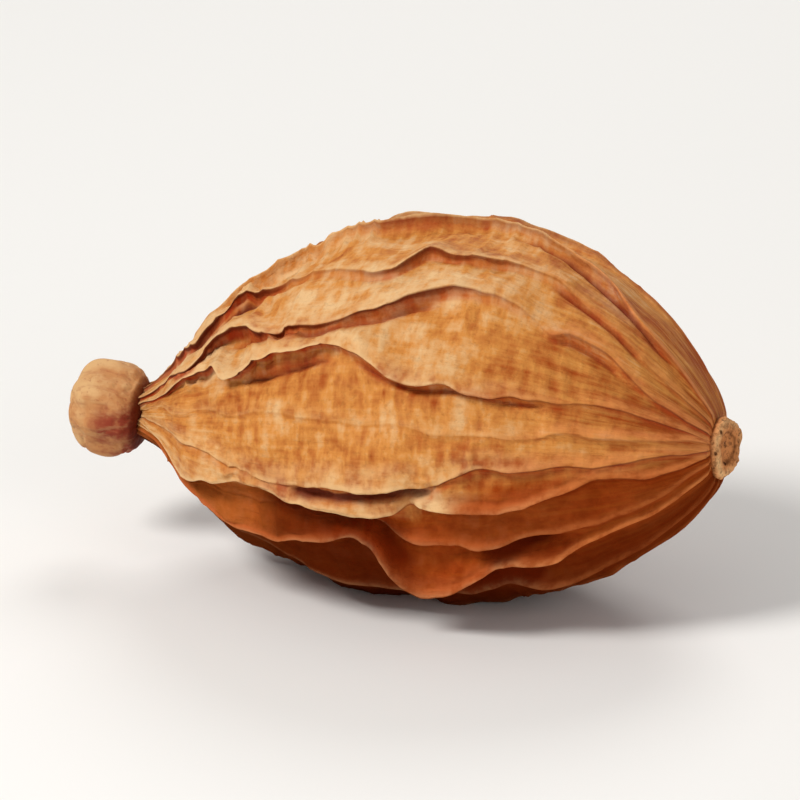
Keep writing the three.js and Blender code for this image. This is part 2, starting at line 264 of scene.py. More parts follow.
# Each rib's crest as (share of the length, longitude) and its height as (share of the
# length, share of a full rib), both followed smoothly, and how far the rib leans over.
FRONT_RIBS = [
    {"lean": 0.2, "width": 0.9, "crest": [
        (0, -10), (0.12, 2), (0.2, 4), (0.3, -2), (0.5, -8), (0.62, -13), (0.74, -9), (0.82, -2),
        (0.88, 6), (0.94, 14), (1, 20),
    ], "height": [
        (0, 0.5), (0.1, 0.35), (0.14, 0.36), (0.17, 0.5), (0.2, 0.72), (0.235, 0.95),
        (0.35, 0.75), (0.6, 0.65), (0.8, 0.75), (0.9, 1), (1, 1),
    ]},
    {"lean": 0.5, "width": 1, "crest": [
        (0, 12), (0.07, 18), (0.14, 32), (0.18, 29), (0.21, 25.5), (0.245, 19.5), (0.285, 16),
        (0.33, 15.5), (0.38, 17.5), (0.44, 22.5), (0.48, 25.5), (0.51, 25), (0.535, 20.5),
        (0.56, 15), (0.6, 16.5), (0.65, 15), (0.7, 12.5), (0.76, 13), (0.85, 20), (0.92, 28),
        (1, 36),
    ], "height": [
        (0, 0.5), (0.1, 0.6), (0.17, 0.75), (0.22, 0.85), (0.27, 0.5), (0.32, 0.3), (0.38, 0.2),
        (0.47, 0.4), (0.56, 0.55), (0.63, 0.55), (0.72, 0.4), (0.8, 0.25), (0.9, 0.3), (1, 0.8),
    ]},
    {"lean": 0.55, "width": 1, "crest": [
        (0, 38), (0.08, 43), (0.14, 48), (0.175, 44), (0.21, 38), (0.25, 40), (0.3, 42),
        (0.4, 43.5), (0.5, 42.5), (0.53, 40.5), (0.56, 36.5), (0.6, 33), (0.66, 31), (0.72, 31.5),
        (0.755, 34), (0.78, 37.5), (0.81, 34.5), (0.86, 36), (0.9, 42), (0.94, 47.5), (1, 50),
    ], "height": [
        (0, 0.6), (0.1, 0.6), (0.17, 0.7), (0.21, 0.85), (0.27, 0.7), (0.4, 0.6), (0.55, 0.65),
        (0.65, 0.5), (0.72, 0.35), (0.755, 0.12), (0.79, 0.4), (0.84, 0.6), (0.9, 0.55), (1, 0.9),
    ]},
    {"lean": 0.7, "width": 0.75, "crest": [
        (0, 50), (0.1, 54), (0.16, 54), (0.195, 53), (0.23, 58), (0.26, 58), (0.3, 55),
        (0.36, 53.5), (0.43, 52.5), (0.48, 56), (0.54, 62.5), (0.6, 65), (0.64, 64), (0.69, 64.8),
        (0.74, 66), (0.8, 64.5), (0.86, 62), (0.92, 60.5), (1, 58),
    ], "height": [
        (0, 0.6), (0.1, 0.6), (0.19, 0.5), (0.23, 0.95), (0.3, 0.9), (0.4, 0.85), (0.47, 0.65),
        (0.55, 0.7), (0.7, 0.5), (0.8, 0.45), (0.9, 0.7), (1, 1),
    ]},
    {"lean": 0, "width": 1, "crest": [
        (0, 66), (0.12, 70), (0.24, 72), (0.4, 75), (0.6, 78), (0.75, 78), (0.85, 75), (0.95, 70),
        (1, 66),
    ], "height": [
        (0, 0.3), (0.2, 0.1), (0.6, 0.16), (0.8, 0.4), (0.9, 0.8), (1, 1),
    ]},
    {"lean": 0.5, "width": 1, "crest": [
        (0, 82), (0.12, 88), (0.16, 90), (0.2, 91.5), (0.26, 94.3), (0.32, 96), (0.37, 97.2),
        (0.43, 97.3), (0.5, 96.9), (0.55, 95.8), (0.6, 94.3), (0.66, 91.5), (0.72, 89.8),
        (0.8, 89), (0.88, 86), (0.95, 82), (1, 77),
    ], "height": [
        (0, 0.4), (0.12, 0.3), (0.18, 0.45), (0.25, 0.35), (0.3, 0.3), (0.36, 0.5), (0.45, 0.65),
        (0.55, 0.65), (0.6, 0.5), (0.66, 0.6), (0.8, 0.6), (1, 1),
    ]},
    {"lean": 0.4, "width": 0.9, "crest": [
        (0, 94), (0.12, 107), (0.15, 106), (0.19, 103.5), (0.23, 103.5), (0.26, 101.5),
        (0.3, 102.3), (0.34, 103.6), (0.38, 104.2), (0.42, 104.3), (0.47, 104.8), (0.51, 105.3),
        (0.545, 105.6), (0.58, 102), (0.62, 103), (0.69, 103.4), (0.75, 101.5), (0.79, 97.8),
        (0.86, 94.5), (0.95, 93), (1, 88),
    ], "height": [
        (0, 0.5), (0.12, 0.6), (0.17, 0.8), (0.21, 0.6), (0.25, 0.4), (0.3, 0.55), (0.4, 0.7),
        (0.5, 0.7), (0.55, 0.6), (0.575, 0.25), (0.6, 0.8), (0.66, 0.8), (0.75, 0.7),
        (0.85, 0.75), (1, 1.1),
    ]},
    {"lean": 0.2, "width": 0.8, "crest": [
        (0, 106), (0.15, 111.5), (0.25, 112), (0.33, 110.5), (0.4, 109.5), (0.45, 109.5),
        (0.5, 112), (0.55, 116), (0.62, 118), (0.7, 120.5), (0.76, 118), (0.82, 116), (0.9, 112),
        (1, 104),
    ], "height": [
        (0, 0.4), (0.2, 0.1), (0.42, 0.05), (0.5, 0.45), (0.6, 0.55), (0.7, 0.55), (0.8, 0.4),
        (1, 0.6),
    ]},
    {"lean": 0.25, "width": 0.42, "crest": [
        (0, 114), (0.15, 119.5), (0.22, 123), (0.28, 123), (0.35, 121), (0.42, 117),
        (0.46, 115.3), (0.49, 118), (0.515, 124), (0.54, 132), (0.57, 136.5), (0.605, 134.5),
        (0.65, 130), (0.7, 127), (0.78, 129), (0.84, 124), (0.92, 121), (1, 116),
    ], "height": [
        (0, 0.4), (0.15, 0.6), (0.3, 0.65), (0.4, 0.8), (0.48, 1.05), (0.55, 1.3), (0.63, 1.15),
        (0.7, 1), (0.8, 1), (1, 1),
    ]},
    {"lean": 0, "width": 1, "crest": [
        (0, 130), (0.3, 138), (0.45, 144), (0.6, 147), (0.7, 144), (0.8, 150), (1, 150),
    ], "height": [
        (0, 0.5), (0.12, 0.25), (0.25, 0.25), (0.4, 0.55), (0.6, 0.5), (0.75, 1), (0.85, 0.7),
        (1, 0.7),
    ]},
]

# The far side's ribs are evenly spread and then varied by sines of their number.
BACK_RIBS = {
    "count": 8, "first": 170, "last": 330, "turn": 2.4, "shift": 2.5, "sway": 4.5, "height": 0.64,
    "uneven": 0.25, "uneven_turn": 2.1, "swell": 1.35, "swell_reach": 0.15, "lean": 0.45,
}


def back_ribs():
    """The ribs of the far side, spread evenly over what is left of the round."""
    step = (BACK_RIBS["last"] - BACK_RIBS["first"]) / (BACK_RIBS["count"] - 1)
    sway = BACK_RIBS["sway"]
    ribs = []
    for i in range(BACK_RIBS["count"]):
        turn = BACK_RIBS["turn"] * i
        middle = BACK_RIBS["first"] + step * i + BACK_RIBS["shift"] * math.sin(turn)
        uneven = math.cos(BACK_RIBS["uneven_turn"] * (i - 0.5))
        height = BACK_RIBS["height"] * (1 + BACK_RIBS["uneven"] * uneven)
        crest = [
            (0, middle),
            (0.25 + 0.04 * math.sin(turn), middle + sway * math.cos(turn)),
            (0.5 + 0.05 * math.cos(turn), middle - sway * math.sin(turn + 0.6)),
            (0.74, middle + sway * math.sin(turn)),
            (1, middle),
        ]
        swell = 0.35 + 0.2 * math.sin(3 * turn)
        heights = [
            (0, height),
            (swell - BACK_RIBS["swell_reach"], height),
            (swell, BACK_RIBS["swell"] * height),
            (swell + BACK_RIBS["swell_reach"], height),
            (1, height),
        ]
        lean = BACK_RIBS["lean"] * math.sin(turn + 1)
        ribs.append({"crest": crest, "height": heights, "lean": lean, "width": 1})
    return ribs


RIBS = FRONT_RIBS + back_ribs()

# Numbers of the ribs that the tables below are set against.
TOP_RIB = 0
NOTCH_RIB = 5
UNDER_NOTCH_RIB = 6
FAINT_RIB = 7
WING_RIB = 8

# How the crests wander and swell: waves along the husk, millimetres of sway and shares
# of the height. The first ribs crumple more up to a place near the flower end.
JAG = {
    "seed": 5, "waves": 16, "fine_waves": 42, "row": 7.3, "fine_row": 3.1, "sway": 0.2,
    "swell": 0.25, "fine": 0.05, "thinnest": 3, "crumpled_ribs": 4, "crumple": 1.2,
    "crumple_end": (0.4, 0.1),
}

# Hollows beside the strongest folds: (share of the length, longitude, depth, reach
# along as a share, reach around in degrees).
HOLLOWS = [
    (0.3, 59, 0.12, 0.07, 2.5),
    (0.49, 114, 0.6, 0.06, 6),
    (0.75, 123, 0.35, 0.07, 3.5),
    (0.615, 98.5, 0.3, 0.02, 2.5),
]

# Narrow creases tucked in under the strongest lips: depth, reach around in degrees, how
# far around the husk is reddened with painted shade beside it, and the path of (share of
# the length, longitude) places.
CREASES = [
    (0.4, 1.5, 2, [(0.35, 99.2), (0.39, 99.8), (0.46, 99.8), (0.55, 98.7), (0.63, 95.5)]),
    (0.25, 1.2, 6, [(0.25, 60.5), (0.36, 57.8), (0.45, 55.5)]),
    (0.2, 1, 2.5, [
        (0.46, 54.6), (0.5, 58.9), (0.54, 63.1), (0.6, 65.7), (0.66, 64.9), (0.74, 66.7),
        (0.8, 65.1),
    ]),
    (0.2, 1.2, 3, [
        (0.22, 42), (0.3, 44), (0.42, 45), (0.5, 44.2), (0.56, 38.5), (0.61, 34.5),
    ]),
    (0.3, 2, 3, [(0.12, 33), (0.18, 32), (0.215, 28.5), (0.245, 23), (0.28, 19)]),
    (0.32, 3, 4, [(0.3, 108.5), (0.35, 108.5), (0.42, 108), (0.46, 108.5), (0.51, 110)]),
    (0.25, 3, 5, [(0.48, 113), (0.51, 117), (0.53, 121.5), (0.55, 125.5), (0.58, 129)]),
    (0.4, 1.8, 3, [(0.65, 122), (0.72, 124), (0.8, 122)]),
    (0.45, 4.5, 5, [(0.58, 143), (0.68, 140), (0.77, 139)]),
    (0.25, 1.8, 2, [(0.66, -9), (0.76, -5), (0.82, 0.5), (0.88, 8.5), (0.94, 17.5)]),
    (0.2, 1.8, 3, [(0.74, 15), (0.85, 23), (0.92, 32)]),
    (0.2, 1.6, 4, [(0.755, 37), (0.78, 40), (0.81, 38.5), (0.86, 41), (0.9, 46.5)]),
]
CREASE_FADE = 0.04
# Behind a crease the painted red shade reaches this many times its reach around.
RED_BEHIND_CREASE = 1.2

# Where the tan panels give way to the darker flank towards the ground, a redder colour that is
# partly real and partly painted shade, as (share of the length, longitude), and how wide that
# step is in degrees, to the left and to the right of the notch.
FLANK_EDGE = [
    (0, 106), (0.2, 104), (0.3, 103), (0.35, 104.8), (0.42, 105), (0.47, 105.5), (0.51, 106.3),
    (0.56, 107), (0.6, 102.5), (0.65, 95), (0.72, 90.5), (0.8, 88), (0.9, 86), (1, 80),
]
FLANK_STEP = {"start": -0.5, "left": 4, "right": 9, "change": (0.54, 0.08)}

# Shadows under the wing, inside its fold and on the panel above it. Around the husk each
# lies behind one rib and before another, or up to a longitude, and along the husk it lies
# between two shares of the length. Every place comes with the width of its smooth step.
SHADOWS = [
    {
        "depth": 1, "from": (0.18, 0.15), "to": (0.62, 0.1), "behind": (WING_RIB, 2.5, 4),
        "up_to": (190, 40),
    },
    {
        "depth": 0.45, "from": (0.44, 0.05), "to": (0.6, 0.08), "behind": (FAINT_RIB, 2, 4),
        "before": (WING_RIB, 0, 5),
    },
    {
        "depth": 0.9, "from": (0.26, 0.08), "to": (0.5, 0.06), "behind": (UNDER_NOTCH_RIB, 1, 3),
        "before": (WING_RIB, 0.5, 3),
    },
]
# Painted shadow towards the ground: where it begins off the top, behind the wing and on the far
# side.
SHADED_UNDERSIDE = {"low": (118, 18), "behind_wing": (2.5, 4), "far_side": (190, 20)}

# Marks on both sides of a crest, by the distance behind it in millimetres: the worn edge
# before it, partly wear and partly a painted highlight, the pale lip, and the dark core and
# reddened groove tucked in behind it, which are painted shade.
MARKS = {
    "full_rib": 0.7, "strongest": 1.3, "full_lean": 0.5, "broader": 2.2,
    "broader_from": (0.7, 0.22), "edge_wear_and_highlight": (-0.06, 0.11), "edge_end": (-0.03, 0.1),
    "lip_fold": (0.42, 0.28), "lip_end": (0, 0.06), "rope_fold": (0.66, 0.2),
    "core_start": (-0.01, 0.04), "core_end": (0.09, 0.07), "core_share": (0.3, 1),
    "groove_start": (0.01, 0.08), "groove_end": (0.12, 0.14), "groove_longer": 0.2,
    "groove_share": (0.2, 0.8),
}

# Ribs whose painted shade in the core and groove stays faint near the flower end: (rib, share
# lost, end, step).
FAINT_GROOVES = [(TOP_RIB, 0.8, 0.45, 0.1), (NOTCH_RIB, 0.6, 0.41, 0.06)]

# One painted highlight beside the notch and the waxy patch with its painted sheen near the
# scar: (share of the length, longitude, reach along, reach around).
PAINTED_HIGHLIGHT_SPOT = (0.615, 99.5, 0.035, 1.8)
PAINTED_HIGHLIGHT_STRENGTH = 1.6
WAXY_SHEEN_SPOT = (0.86, -1, 0.05, 10)

# How red hollows and creases are painted as shade, for each millimetre of depth or on their
# own, and from which depth on a crease is painted dark.
SHADE_REDNESS = {"hollow": 2.2, "crease": 0.8}
CREASE_CORE = {"per_depth": 6, "less": 0.7}

# Where the light falls: on what faces up, and most on the very top near the flower end.
SUNNY = {
    "facing": (0.3, 0.35), "end": (0.97, 0.35), "top": (20, 10), "top_end": (0.4, 0.1),
    "top_strength": 1.5,
}

# The grain's own surface, in millimetres: how far it lies under the crests' radius, and
# how much faster than the husk it rises, so that its pattern crosses the folds.
GRAIN = {"under": 0.7, "rise": 1.5, "thinnest": 1}

# Fine relief of the dry husk: each layer's noise seed, its waves for each millimetre
# across and along the husk, its height in millimetres, and how sharp its ridges are.
RELIEF = {
    "seeds": (11, 1 / 2.4, 1 / 2.4, 0.24, None),
    "small_seeds": (12, 1 / 1.1, 1 / 1.1, 0.14, None),
    "puckers": (13, 0.55, 1.6, 0.26, 3),
    "crinkles": (17, 0.85, 1, 0.17, 4),
    "patches": (14, 0.5, 0.5, 0.9, None),
    "veins": (15, 2.6, 0.28, 0.06, 4),
    "threads": (16, 1.6, 7, 0.02, None),
}
RELIEF_ROUND = 7
RELIEF_FADE = {"collar": 0.12, "scar": 0.1, "calm": 0.35, "calm_end": (0.9, 0.5), "on_rope": 0.5}

# Where the husk is crumpled, up to a share of the length and an angle from the top, and
# what that adds to its relief, set about the middle of each layer.
CRUMPLE = {
    "end": (0.45, 0.15), "from_top": (70, 20), "seeds": 0.4, "puckers": 0.9,
    "pucker_middle": 0.14, "crinkle_middle": 0.0765, "crinkle_start": (0.04, 0.1),
}

# The jagged collar, its set-back front and the throat that closes it around the neck.
COLLAR = {
    "throat": 0.5, "curl": 0.6, "closing": 1.2, "sunk": 0.6, "set_back": 0.42, "front": (76, 24),
    "front_reach": 0.045, "jag": 0.9, "flat": 0.1, "jag_reach": 0.03,
}

COLUMNS_PER_RIB = 28
COLUMN_CROWDING = 0.5
HUSK_RINGS = 192
COLLAR_RINGS = 5
RING_CROWDING = 0.45


def hollow_depth(s, longitude):
    """How deep the hollows are at each point."""
    total = np.zeros_like(s)
    for share, middle, depth, along, around in HOLLOWS:
        total += depth * spot(s, longitude, share, middle, along, around)
    return total


def creases_at(s, longitude):
    """How deep the creases are at each point, and how red the painted shade beside them is."""
    deepest, reddest = np.zeros((2, len(s)))
    for depth, around, red, path in CREASES:
        start, end = path[0][0], path[-1][0]
        across = longitude - follow(path, np.clip(s, start, end))
        fade = rise(s, start, CREASE_FADE) * fall(s, end, CREASE_FADE)
        deepest = np.maximum(deepest, depth * fade * hill(across, 0, around))
        reach = np.where(across < 0, red, RED_BEHIND_CREASE * around)
        reddest = np.maximum(reddest, fade * hill(across, 0, reach))
    return deepest, reddest


def rib_envelope(s):
    """Ribs rise quickly behind the flower collar and die out slowly towards the scar."""
    risen = mix(RIB_ENDS["collar"], 1, rise(s, 0, RIB_ENDS["collar_reach"]))
    return risen * mix(RIB_ENDS["scar"], 1, fall(s, 1, RIB_ENDS["scar_reach"]))


def outer_radius(husk, s):
    """Radius over the rib crests, in millimetres."""
    to_collar = s < WIDEST_AT
    end = np.where(to_collar, COLLAR_RADIUS, SCAR_RIM_RADIUS)
    span = np.where(to_collar, WIDEST_AT, 1 - WIDEST_AT)
    away = np.abs(s - WIDEST_AT) / span
    flank = np.maximum(0, 1 - away * away) ** np.where(to_collar, COLLAR_FULLNESS, SCAR_FULLNESS)
    pinch = np.where(to_collar, mix(NECK_PINCH, 1, smooth(s / NECK_LENGTH)), 1)
    return end + (husk.radius / MM - end) * flank * pinch


def middle_line(husk, s):
    """The husk's axis, in millimetres, before the fruit is laid down."""
    bow = BOW * np.sin(np.pi * np.clip(s, 0, 1) ** BOW_SKEW)
    return np.stack([(s - 0.5) * husk.length / MM, np.zeros_like(s), bow], axis=1)


def turned(points, turn, axis):
    return points @ np.array(Matrix.Rotation(turn, 3, axis)).T


def lay_down(husk, points):
    """Turns the fruit to its pitch and sets it on the floor; millimetres in, metres out."""
    return (turned(points, -husk.pitch, "Y") + np.array(CENTRE)) * MM


def round_points(x, radius, turn):
    """Points round the X axis, with turns from +Z towards -Y."""
    return np.stack([x, -radius * np.sin(turn), radius * np.cos(turn)], axis=1)


def fold_shape(distance, lean, s):
    """A long slope up to the crest, longer for a leaning rib, and a short drop behind it."""
    slope = FOLD["slope"] * (1 + FOLD["spread"] * np.abs(lean))
    to_scar = rise(s, 1 - FOLD["scar_reach"], FOLD["scar_reach"])
    drop = mix(FOLD["drop"], FOLD["scar_drop"], to_scar)
    x = distance / np.where(distance < 0, slope, drop)
    return np.exp(FOLD["roundness"] - np.hypot(x, FOLD["roundness"]))


def share_of_ring(ring):
    """The share of the length at a vertex ring; the rings are closer at both ends."""
    even = np.clip((ring - COLLAR_RINGS) / (HUSK_RINGS - COLLAR_RINGS), 0, 1)
    return mix(even, (1 - np.cos(np.pi * even)) / 2, RING_CROWDING)


def jagged_ribs(husk):
    """Each rib's foot and crest longitude and its height, at every vertex ring."""
    s = share_of_ring(np.arange(HUSK_RINGS + 1))
    radius = outer_radius(husk, s)
    heights = np.array([follow(rib["height"], s) * rib_envelope(s) for rib in RIBS])
    crests = np.array([follow(rib["crest"], s) for rib in RIBS])
    leans = np.array([[rib["lean"]] for rib in RIBS])
    jag = Noise(JAG["seed"])

    def row_of_noise(waves, row, layer):
        return np.stack([s * waves, np.full_like(s, row), np.full_like(s, layer)], axis=1)

    for k in range(len(RIBS)):
        line = row_of_noise(JAG["waves"], JAG["row"] * k, 0)
        fine = row_of_noise(JAG["fine_waves"], JAG["fine_row"] * k + 0.5, 1)
        crumpled = (k < JAG["crumpled_ribs"]) * fall(s, *JAG["crumple_end"])
        fine_share = JAG["fine"] * (1 + JAG["crumple"] * crumpled)
        sway = JAG["sway"] * jag(line) + fine_share * jag(fine)
        crests[k] += np.degrees(sway / np.maximum(radius, JAG["thinnest"]))
        heights[k] *= 1 + JAG["swell"] * jag(line + 4) + fine_share * jag(fine + 9)
    feet = crests - np.degrees(leans * heights**2 / radius)
    return feet, crests, heights


def fine_relief(around, s, from_top, rope):
    """Seeds that show through, puckers, crinkles, veins and threads, in millimetres."""
    layers = {}
    for name, (seed, across, along, height, sharpness) in RELIEF.items():
        noise = Noise(seed)(around * np.array([across, across, along]))
        if sharpness:
            noise = (1 - np.abs(noise)) ** sharpness
        layers[name] = height * noise
    crumpled = fall(s, *CRUMPLE["end"]) * fall(from_top, *CRUMPLE["from_top"])
    seeds = (layers["seeds"] + layers["small_seeds"]) * (1 + CRUMPLE["seeds"] * crumpled)
    more = CRUMPLE["puckers"] * (layers["puckers"] - CRUMPLE["pucker_middle"])
    puckers = layers["puckers"] + more * crumpled
    crinkles = (layers["crinkles"] - CRUMPLE["crinkle_middle"]) * crumpled
    crinkles = crinkles * rise(s, *CRUMPLE["crinkle_start"])
    patch = smooth(0.5 + layers["patches"])
    texture = seeds + puckers * patch + layers["veins"] * (1.2 - patch) + layers["threads"]
    fade = rise(s, 0, RELIEF_FADE["collar"]) * fall(s, 1, RELIEF_FADE["scar"])
    fade = fade * mix(RELIEF_FADE["calm"], 1, fall(s, *RELIEF_FADE["calm_end"]))
    return fade * (1 - RELIEF_FADE["on_rope"] * np.clip(rope, 0, 1)) * texture + crinkles


def flank_shadow(s, longitude, from_top, crest_of):
    """How deep in shadow each point is, towards the ground and around the wing."""
    behind_wing = rise(longitude - crest_of(WING_RIB), *SHADED_UNDERSIDE["behind_wing"])
    turned_away = np.maximum(behind_wing, rise(longitude, *SHADED_UNDERSIDE["far_side"]))
    deepest = rise(from_top, *SHADED_UNDERSIDE["low"]) * turned_away
    for shadow in SHADOWS:
        index, start, step = shadow["behind"]
        depth = shadow["depth"] * rise(longitude - crest_of(index), start, step)
        depth = depth * rise(s, *shadow["from"]) * fall(s, *shadow["to"])
        if "before" in shadow:
            index, start, step = shadow["before"]
            depth = depth * rise(crest_of(index) - longitude, start, step)
        if "up_to" in shadow:
            depth = depth * fall(longitude, *shadow["up_to"])
        deepest = np.maximum(deepest, depth)
    return deepest


def husk_surface(husk, ring, column):
    """Points of the husk in millimetres with their masks, for vertex rings and columns."""
    count = len(RIBS)
    inner = np.clip((COLLAR_RINGS - ring) / COLLAR_RINGS, 0, 1)
    s = share_of_ring(ring)
    rib = column // COLUMNS_PER_RIB
    place = (column % COLUMNS_PER_RIB) / COLUMNS_PER_RIB
    place = place - COLUMN_CROWDING * np.sin(2 * np.pi * place) / (2 * np.pi)
    feet, crests, heights = jagged_ribs(husk)
    leans = np.array([r["lean"] for r in RIBS])
    widths = np.array([r["width"] for r in RIBS])

    def of_rib(table, index):
        return table[index % count, ring]

    def longitude_of(index):
        return of_rib(feet, index) + 360.0 * (index // count)

    longitude = mix(longitude_of(rib), longitude_of(rib + 1), place)
    from_top = np.minimum(longitude % 360, 360 - longitude % 360)
    outer = outer_radius(husk, s)
    radius = outer - husk.rib_depth / MM * rib_envelope(s)
    narrow = (outer / (husk.radius / MM)) ** FOLD["narrowing"]
    broad = 1 + MARKS["broader"] * rise(s, *MARKS["broader_from"])
    powers, sideways, edge_wear_and_highlight, lip, rope, core, groove = np.zeros((7, len(s)))
    for offset in (-1, 0, 1, 2):
        index = rib + offset
        lean = leans[index % count]
        distance = np.radians(longitude - longitude_of(index)) * radius
        distance = distance / (narrow * widths[index % count])
        full = of_rib(heights, index)
        fold = fold_shape(distance, lean, s)
        height = full * fold
        powers += height**4
        sideways += lean * height * height
        strength = np.clip(full / (MARKS["full_rib"] * narrow), 0, MARKS["strongest"])
        over = smooth(lean / MARKS["full_lean"])
        close = distance / broad
        # the edge before the crest is partly wear and partly a painted highlight
        worn_and_lit = hill(close, *MARKS["edge_wear_and_highlight"]) * (1 - rise(close, *MARKS["edge_end"]))
        edge_wear_and_highlight = np.maximum(edge_wear_and_highlight, strength * worn_and_lit)
        on_lip = rise(fold, *MARKS["lip_fold"]) * (1 - rise(close, *MARKS["lip_end"]))
        lip = np.maximum(lip, strength * on_lip)
        rope = np.maximum(rope, strength * rise(fold, *MARKS["rope_fold"]))
        for faint, share, end, step in FAINT_GROOVES:
            strength = strength * (1 - share * (index % count == faint) * fall(s, end, step))
        # the dark core and the reddened groove behind each crest are painted shade
        line = rise(distance, *MARKS["core_start"]) * tail(distance, *MARKS["core_end"])
        core = np.maximum(core, strength * line * mix(*MARKS["core_share"], over))
        behind = rise(distance, *MARKS["groove_start"])
        behind = behind * tail(distance - MARKS["groove_longer"] * over, *MARKS["groove_end"])
        groove = np.maximum(groove, strength * behind * mix(*MARKS["groove_share"], over))
    hollow = hollow_depth(s, longitude)
    crease, reddest = creases_at(s, longitude)
    height = powers**0.25 - hollow - crease
    # hollows and creases add painted shade to the grooves and cores
    groove = np.maximum(groove, SHADE_REDNESS["hollow"] * hollow)
    groove = np.maximum(groove, SHADE_REDNESS["crease"] * reddest)
    core = np.maximum(core, CREASE_CORE["per_depth"] * crease - CREASE_CORE["less"])
    # a painted highlight beside the notch, laid into the edge mark
    edge_wear_and_highlight = edge_wear_and_highlight + PAINTED_HIGHLIGHT_STRENGTH * spot(s, longitude, *PAINTED_HIGHLIGHT_SPOT)

    turn = 2 * np.pi * (rib + place) / count
    around = np.stack(
        [RELIEF_ROUND * np.cos(turn), RELIEF_ROUND * np.sin(turn), s * husk.length / MM], axis=1
    )
    reach = radius + height + fine_relief(around, s, from_top, rope)
    throat = mix(radius + height, COLLAR["throat"] * COLLAR_RADIUS, inner ** COLLAR["curl"])
    reach = np.where(inner > 0, throat, reach)
    reach = np.where(inner >= 1, 0.0, reach)
    angle = np.radians(longitude)
    flat = np.zeros_like(s)
    out = np.stack([flat, -np.sin(angle), np.cos(angle)], axis=1)
    beside = np.stack([flat, -np.cos(angle), -np.sin(angle)], axis=1)
    points = middle_line(husk, s) + out * reach[:, None]
    points += beside * (sideways * (1 - inner))[:, None]
    front = COLLAR["set_back"] * hill(longitude, *COLLAR["front"])
    front = front * fall(s, COLLAR["front_reach"], COLLAR["front_reach"])
    teeth = COLLAR["jag"] * (height - COLLAR["flat"]) * (1 - inner)
    teeth = teeth * fall(s, COLLAR["jag_reach"], COLLAR["jag_reach"])
    points[:, 0] += front - teeth + COLLAR["sunk"] * smooth(inner * COLLAR["closing"])
    points[ring >= HUSK_RINGS] = middle_line(husk, np.ones(1))

    grain_turn = angle + sideways / np.maximum(radius, GRAIN["thinnest"])
    grain_reach = husk.radius / MM - GRAIN["under"] + GRAIN["rise"] * height
    grain = [grain_reach * np.cos(grain_turn), grain_reach * np.sin(grain_turn), points[:, 0]]
    flank_step = mix(FLANK_STEP["left"], FLANK_STEP["right"], rise(s, *FLANK_STEP["change"]))
    sunny = rise(np.cos(angle), *SUNNY["facing"]) * fall(s, *SUNNY["end"])
    on_top = fall(from_top, *SUNNY["top"]) * fall(s, *SUNNY["top_end"])
    masks = {
        "grain": np.stack(grain, axis=1),
        # partly wear and partly a painted highlight on the crests
        "edge_wear_and_highlight": edge_wear_and_highlight,
        "lip": np.clip(lip, 0, 1),
        "rope": np.clip(rope, 0, 1),
        # painted shade: the dark cores and reddened grooves behind the crests
        "core": np.clip(core, 0, 1),
        "groove": np.clip(groove, 0, 1),
        "along": s,
        # the darker flank towards the ground, partly redder and partly painted shade
        "under": rise(from_top - follow(FLANK_EDGE, s), FLANK_STEP["start"], flank_step),
        # the waxy patch with its painted sheen
        "waxy": spot(s, longitude, *WAXY_SHEEN_SPOT),
        # painted shadows under and around the wing and towards the ground
        "deep": flank_shadow(s, longitude, from_top, lambda index: of_rib(crests, index)),
        # painted light on what faces up and on the top near the flower end
        "sunny": sunny + SUNNY["top_strength"] * on_top,
    }
    return points, masks


# ------------------------------------------------------------------ small helpers


def deselect_all():
    for item in bpy.context.selected_objects:
        item.select_set(False)


def sphere_piece(name, columns, rings):
    """A fresh sphere primitive with its vertices' ring and column numbers."""
    deselect_all()
    bpy.ops.mesh.primitive_uv_sphere_add(segments=columns, ring_count=rings, radius=1)
    piece = bpy.context.object
    piece.name = name
    piece.data.name = name
    count = len(piece.data.vertices)
    spots = np.zeros(count * 3)
    piece.data.vertices.foreach_get("co", spots)
    x, y, z = spots.reshape(-1, 3).T
    ring = np.rint(rings * (1 - np.arccos(np.clip(z, -1, 1)) / np.pi)).astype(int)
    column = np.rint(columns * np.arctan2(y, x) / (2 * np.pi)).astype(int) % columns
    return piece, ring, column


def move_vertices(piece, points):
    piece.data.vertices.foreach_set("co", np.asarray(points, float).ravel())
    piece.data.update()


def store_masks(piece, masks):
    for name, values in masks.items():
        kind = "FLOAT_VECTOR" if values.ndim == 2 else "FLOAT"
        attribute = piece.data.attributes.new(name, kind, "POINT")
        attribute.data.foreach_set("vector" if values.ndim == 2 else "value", values.ravel())


def smooth_faces(piece):
    piece.data.polygons.foreach_set("use_smooth", np.ones(len(piece.data.polygons), bool))


